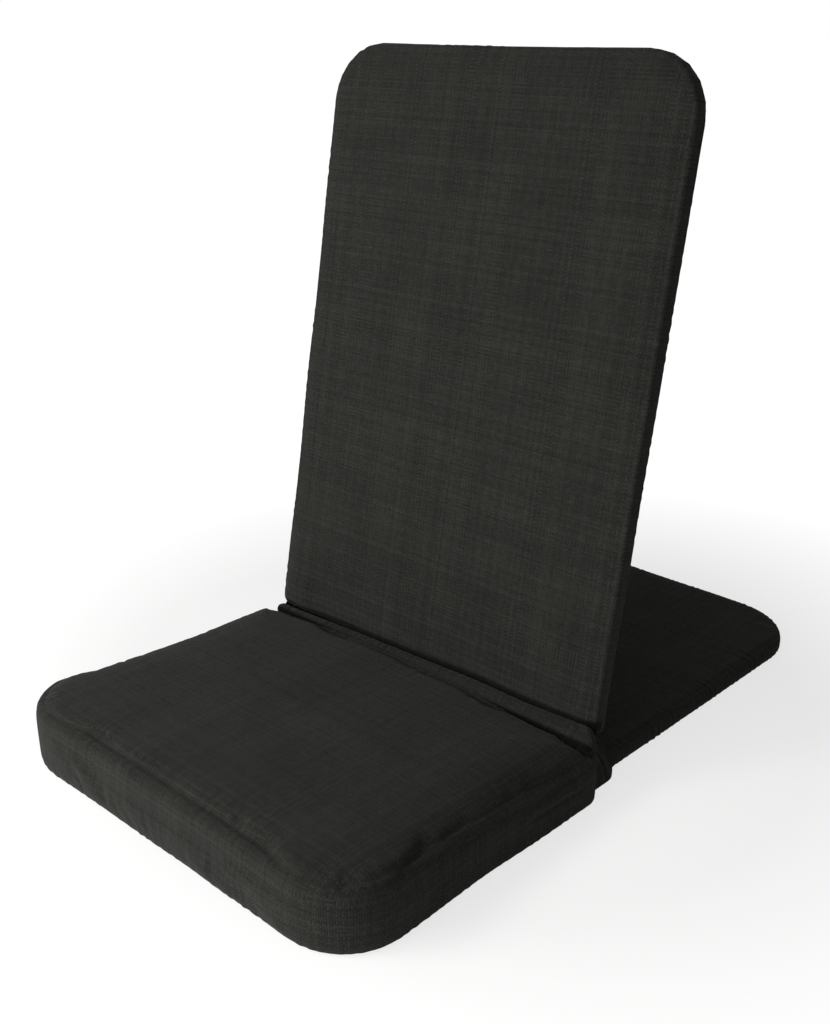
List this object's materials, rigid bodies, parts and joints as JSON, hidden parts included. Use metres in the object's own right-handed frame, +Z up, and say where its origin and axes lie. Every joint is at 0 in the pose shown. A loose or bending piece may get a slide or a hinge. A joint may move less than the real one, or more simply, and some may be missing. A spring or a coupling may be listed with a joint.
{
  "type": "folding floor chair",
  "caption": "Legless floor chair in black fabric: thick seat cushion, long padded back that folds forward onto the seat, and a thin tail on the floor behind that keeps it upright.",
  "frame": {"origin": "on the floor, at the middle of the chair's underside", "axes": "+Z up, +Y to the rear along the tail, -Y to the seat's front edge, +X across the chair"},
  "size_m": [0.524, 0.864, 0.7343],
  "materials": {
    "cover_fabric": "matte",
    "foam": "matte",
    "frame_steel": "satin",
    "zinc_steel": "satin",
    "nylon": "satin",
    "plug_plastic": "matte"
  },
  "bodies": {
    "base": {"seat_cover": "cover_fabric", "seat_foam": "foam", "tail_cover": "cover_fabric", "tail_pad": "foam", "seat_frame_tube": "frame_steel", "tail_frame_tube": "frame_steel", "seat_cross_tube": "frame_steel", "hinge_rod": "zinc_steel", "hinge_sleeve": "cover_fabric", "frame_splice_left": "frame_steel", "hinge_riser_left": "frame_steel", "stop_pin_left": "zinc_steel", "rod_cap_left": "zinc_steel", "pivot_washer_left": "nylon", "splice_rivet_left_1": "zinc_steel", "splice_rivet_left_2": "zinc_steel", "riser_rivet_left_1": "zinc_steel", "riser_rivet_left_2": "zinc_steel", "frame_splice_right": "frame_steel", "hinge_riser_right": "frame_steel", "stop_pin_right": "zinc_steel", "rod_cap_right": "zinc_steel", "pivot_washer_right": "nylon", "splice_rivet_right_1": "zinc_steel", "splice_rivet_right_2": "zinc_steel", "riser_rivet_right_1": "zinc_steel", "riser_rivet_right_2": "zinc_steel"},
    "back": {"back_cover": "cover_fabric", "back_foam_front": "foam", "back_foam_rear": "foam", "back_frame_tube": "frame_steel", "back_cross_tube": "frame_steel", "back_arm_left": "frame_steel", "pivot_bush_left": "nylon", "leg_plug_left": "plug_plastic", "arm_rivet_left_1": "zinc_steel", "arm_rivet_left_2": "zinc_steel", "back_arm_right": "frame_steel", "pivot_bush_right": "nylon", "leg_plug_right": "plug_plastic", "arm_rivet_right_1": "zinc_steel", "arm_rivet_right_2": "zinc_steel"}
  },
  "joints": [
    {"name": "back_fold", "type": "hinge", "parent": "base", "child": "back", "pos_m": [0, -0.0644, 0.0575], "axis": [1, 0, 0], "range_deg": [0, 98]}
  ]
}
